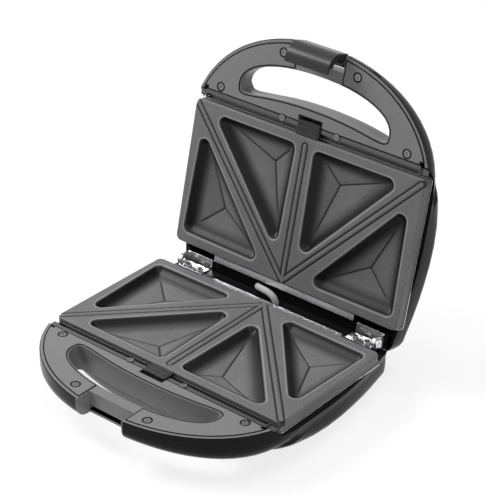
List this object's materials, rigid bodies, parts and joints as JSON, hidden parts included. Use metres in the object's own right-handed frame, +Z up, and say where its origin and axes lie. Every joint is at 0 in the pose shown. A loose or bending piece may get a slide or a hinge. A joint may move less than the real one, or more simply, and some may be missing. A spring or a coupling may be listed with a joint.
{
  "type": "sandwich toaster",
  "caption": "Sandwich toaster with a hinged lid, two non-stick plates with triangular pockets, open-grip handles, a swinging latch clip and sliding plate catches.",
  "frame": {"origin": "on the table under the middle of the box that the open toaster fills", "axes": "+X to the right seen from the handles, +Y from the handles to the hinge, +Z up; the flat rest face looks along -Z"},
  "size_m": [0.2338, 0.2752, 0.2444],
  "materials": {
    "shell": "glossy black",
    "cover": "satin grey",
    "latch": "satin black",
    "nonstick": "dark non-stick coating on pressed sheet",
    "tray_steel": "bright sheet",
    "hinge_steel": "pressed sheet",
    "screw_steel": "machined",
    "rivet_steel": "plated",
    "spring_steel": "drawn wire",
    "element_sheath": "heat darkened",
    "foot_rubber": "matte",
    "gland_rubber": "matte",
    "ceramic": "glazed ceramic look",
    "sleeve": "braided",
    "lens_red": "clear red",
    "lens_green": "clear green",
    "board": "resin board"
  },
  "bodies": {
    "base": {"base_housing": "shell", "base_handle_cover": "cover", "base_tray": "tray_steel", "base_heating_element": "element_sheath", "base_release_spring": "spring_steel", "base_cover_screws": "screw_steel", "base_strip_screws": "screw_steel", "base_hinge_bracket_left": "hinge_steel", "base_hinge_bracket_right": "hinge_steel", "base_bracket_screws": "screw_steel", "lower_cooking_plate": "nonstick", "hinge_pin_left": "rivet_steel", "hinge_pin_right": "rivet_steel", "rubber_feet": "foot_rubber", "cord_gland": "gland_rubber", "terminal_block": "ceramic", "thermostat": "ceramic", "thermal_fuse": "ceramic", "link_sleeve": "sleeve"},
    "lid": {"lid_housing": "shell", "lid_handle_cover": "cover", "lid_tray": "tray_steel", "lid_heating_element": "element_sheath", "lid_release_spring": "spring_steel", "lid_cover_screws": "screw_steel", "lid_strip_screws": "screw_steel", "lid_hinge_bracket_left": "hinge_steel", "lid_hinge_bracket_right": "hinge_steel", "lid_bracket_screws": "screw_steel", "upper_cooking_plate": "nonstick", "latch_pin": "rivet_steel", "power_lens": "lens_red", "ready_lens": "lens_green", "lamp_board": "board"},
    "clip": {"latch_clip": "latch"},
    "base_release": {"base_release_latch": "latch"},
    "lid_release": {"lid_release_latch": "latch"}
  },
  "joints": [
    {"name": "lid_hinge", "type": "hinge", "parent": "base", "child": "lid", "pos_m": [0, 0.0703, 0.037], "axis": [1, 0, 0], "range_deg": [0, 101.7], "deforming": ["link_sleeve"]},
    {"name": "clip_pivot", "type": "hinge", "parent": "lid", "child": "clip", "pos_m": [0, 0.11916, 0.23347], "axis": [1, 0, 0], "range_deg": [-30, 8]},
    {"name": "base_release_slide", "type": "slide", "parent": "base", "child": "base_release", "axis": [0, -1, 0], "range_m": [0, 0.0027], "stiffness_N_per_m": 400, "springref_m": -0.002, "deforming": ["base_release_spring"]},
    {"name": "lid_release_slide", "type": "slide", "parent": "lid", "child": "lid_release", "axis": [0, 0.2028, 0.9792], "range_m": [0, 0.0027], "stiffness_N_per_m": 400, "springref_m": -0.002, "deforming": ["lid_release_spring"]}
  ]
}
